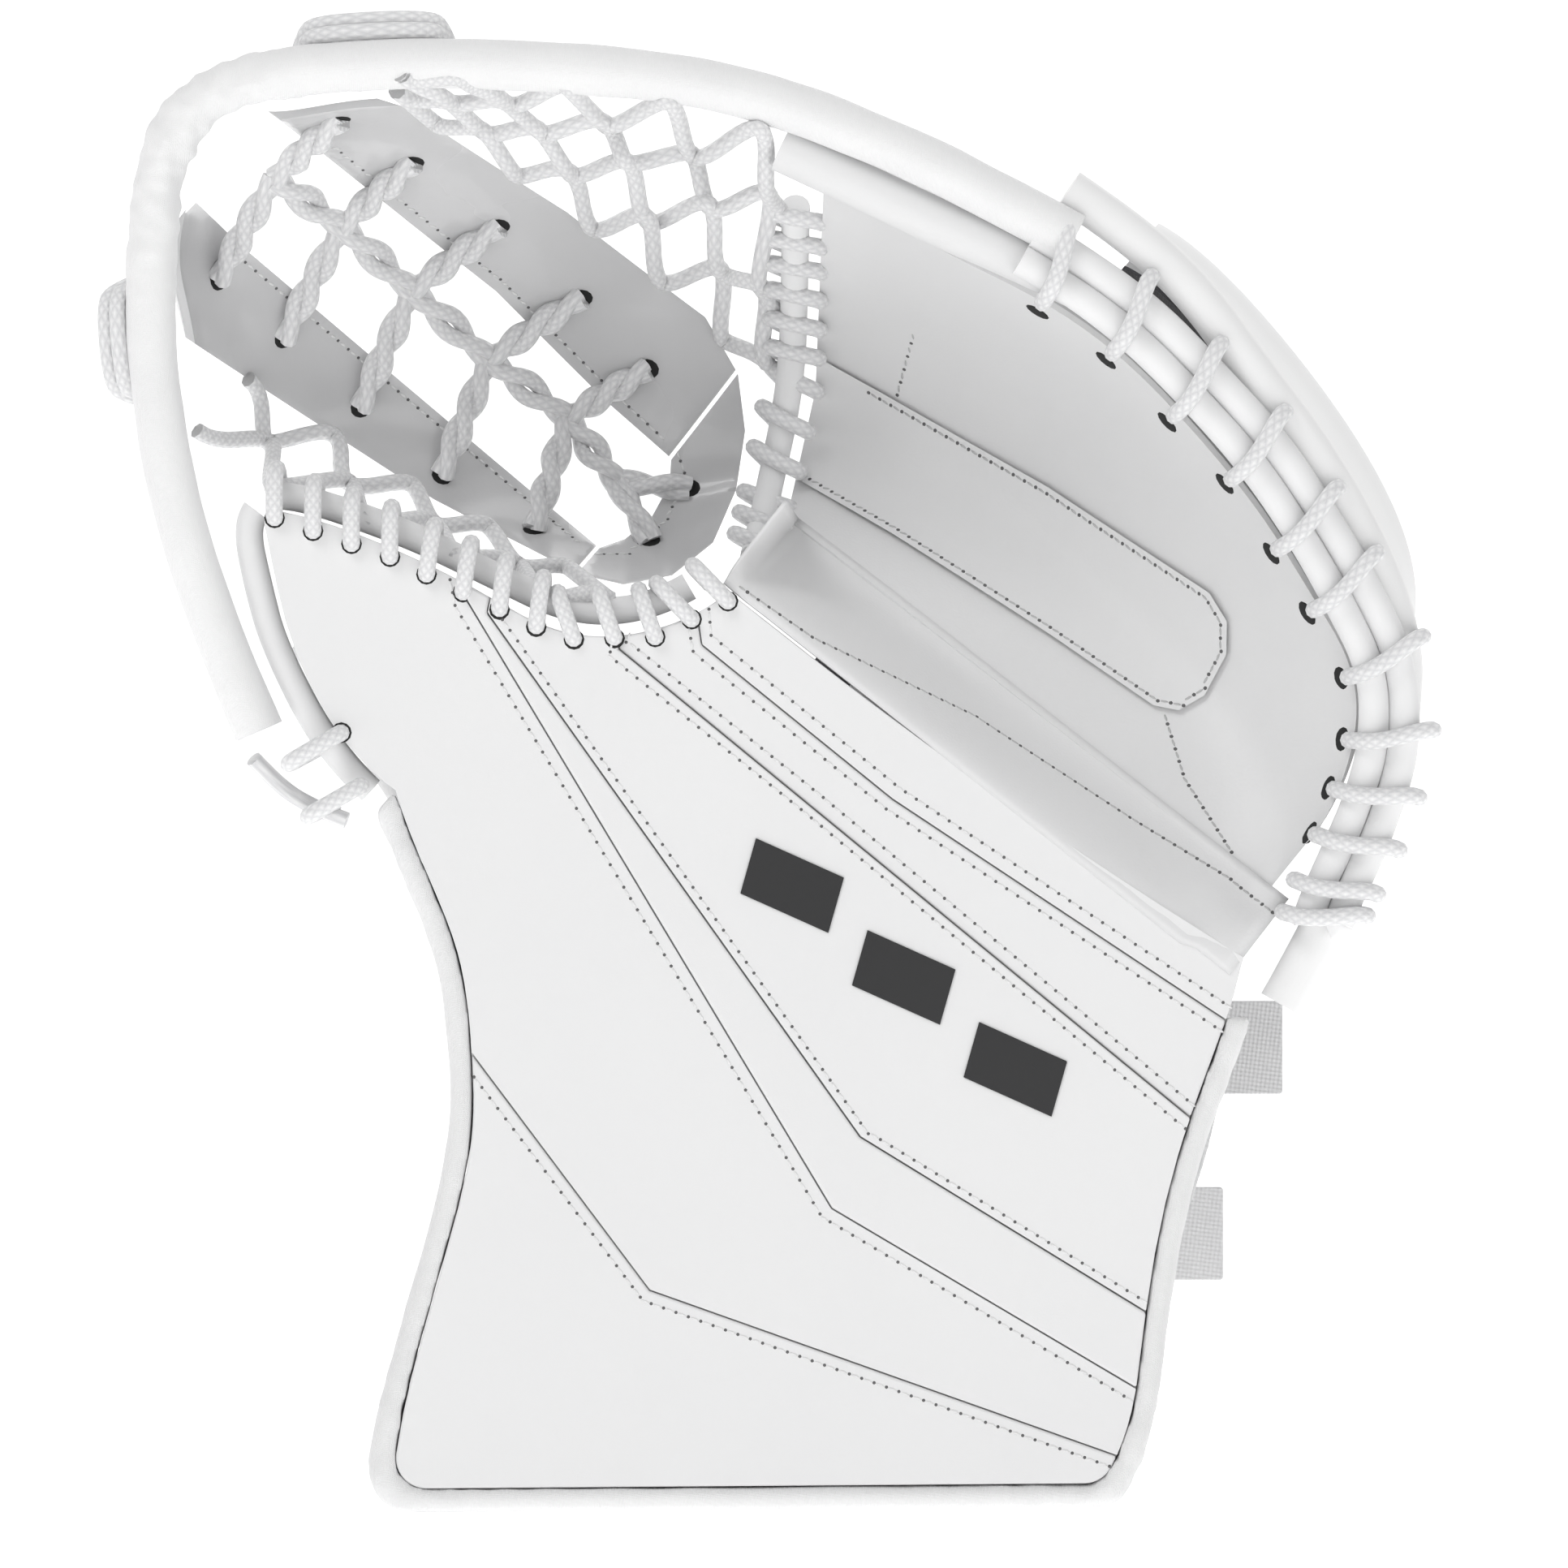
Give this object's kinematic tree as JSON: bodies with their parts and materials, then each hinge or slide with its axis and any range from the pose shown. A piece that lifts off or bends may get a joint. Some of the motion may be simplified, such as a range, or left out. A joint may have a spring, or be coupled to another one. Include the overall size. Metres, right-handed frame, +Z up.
{
  "type": "goalie catch glove",
  "caption": "Left-hand goalie catch glove with flat cuff and thumb, cupped palm, laced open pocket between leather straps, and hook-and-loop wrist straps.",
  "frame": {"origin": "middle of the wrist opening, where the hand goes in", "axes": "+Z up from the cuff's lower edge to the pocket, palm side towards -Y, thumb towards -X"},
  "size_m": [0.3445, 0.1499, 0.3844],
  "materials": {
    "face_leather": "matt smooth synthetic leather",
    "palm_leather": "soft smooth leather",
    "strap_leather": "glossy smooth leather",
    "bar_film": "flat dark film",
    "fabric_binding": "woven nylon twill",
    "bead_fabric": "coated woven fabric",
    "lace": "braided round nylon lace",
    "foam": "closed cell foam",
    "board": "stiff polyethylene sheet",
    "lining": "brushed lining fabric",
    "guard_plastic": "leather over moulded guard",
    "back_fabric": "coated nylon over foam",
    "mesh": "open nylon mesh",
    "webbing": "woven webbing",
    "hook_loop": "hook and loop tape",
    "tab_rubber": "soft moulded rubber"
  },
  "bodies": {
    "hand": {"back_lining": "lining", "back_pad_hand": "back_fabric", "back_pad_index": "back_fabric", "back_pad_little": "back_fabric", "back_pad_middle": "back_fabric", "back_pad_ring": "back_fabric", "bead_lace_finger": "lace", "finger_dividers": "lining", "finger_guard": "guard_plastic", "guard_rim": "guard_plastic", "loop_patch_lower": "hook_loop", "loop_patch_upper": "hook_loop", "palm_board": "board", "palm_edge_roll": "bead_fabric", "palm_foam": "foam", "palm_heel_strip": "palm_leather", "palm_leather": "palm_leather", "palm_lining": "lining", "palm_patch": "palm_leather", "pocket_bead_finger": "bead_fabric", "rim_lace": "lace", "rim_roll_finger": "bead_fabric", "rim_roll_palm": "bead_fabric", "strap_anchors": "webbing", "wrist_gusset": "mesh", "wrist_pad": "back_fabric"},
    "thumb_cuff": {"cuff_binding": "fabric_binding", "cuff_board": "board", "cuff_foam": "foam", "cuff_lining": "lining", "cuff_wrist_pad": "lining", "face_bars": "bar_film", "face_panel_band": "face_leather", "face_panel_heel": "face_leather", "face_panel_lower": "face_leather", "face_panel_main": "face_leather", "face_panel_thumb": "face_leather", "face_panel_upper": "face_leather", "thumb_back_pad": "back_fabric", "thumb_edge_roll": "bead_fabric", "thumb_side_roll": "bead_fabric", "thumb_sleeve": "lining", "thumb_whip_lace": "lace", "pocket_bead_thumb": "bead_fabric", "bead_lace_thumb": "lace", "lace_tail": "lace"},
    "pocket": {"pocket_strap_thumb": "strap_leather", "pocket_strap_finger": "strap_leather", "pocket_strap_base": "strap_leather", "pocket_net_centre": "lace", "pocket_net_finger": "lace", "pocket_net_thumb": "lace"},
    "strap_lower": {"wrist_strap_lower": "webbing", "hook_patch_lower": "hook_loop", "pull_tab_lower": "tab_rubber"},
    "strap_upper": {"wrist_strap_upper": "webbing", "hook_patch_upper": "hook_loop", "pull_tab_upper": "tab_rubber"}
  },
  "joints": [
    {"name": "glove_fold", "type": "hinge", "parent": "hand", "child": "thumb_cuff", "pos_m": [0.0947, -0.055, 0.0807], "axis": [-0.7848, 0, 0.6198], "range_deg": [0, 55], "deforming": ["palm_heel_strip", "wrist_gusset"]},
    {"name": "pocket_fold", "type": "hinge", "parent": "hand", "child": "pocket", "pos_m": [0.0947, -0.055, 0.0807], "axis": [-0.7848, 0, 0.6198], "range_deg": [0, 27.5]},
    {"name": "strap_lower_peel", "type": "hinge", "parent": "hand", "child": "strap_lower", "pos_m": [-0.0198, 0.0457, 0.009], "axis": [0, 0, 1], "range_deg": [0, 120]},
    {"name": "strap_upper_peel", "type": "hinge", "parent": "hand", "child": "strap_upper", "pos_m": [-0.0198, 0.0457, 0.059], "axis": [0, 0, 1], "range_deg": [0, 120]}
  ],
  "couplings": [
    {"joint": "pocket_fold", "follows": "glove_fold", "ratio": 0.5}
  ]
}
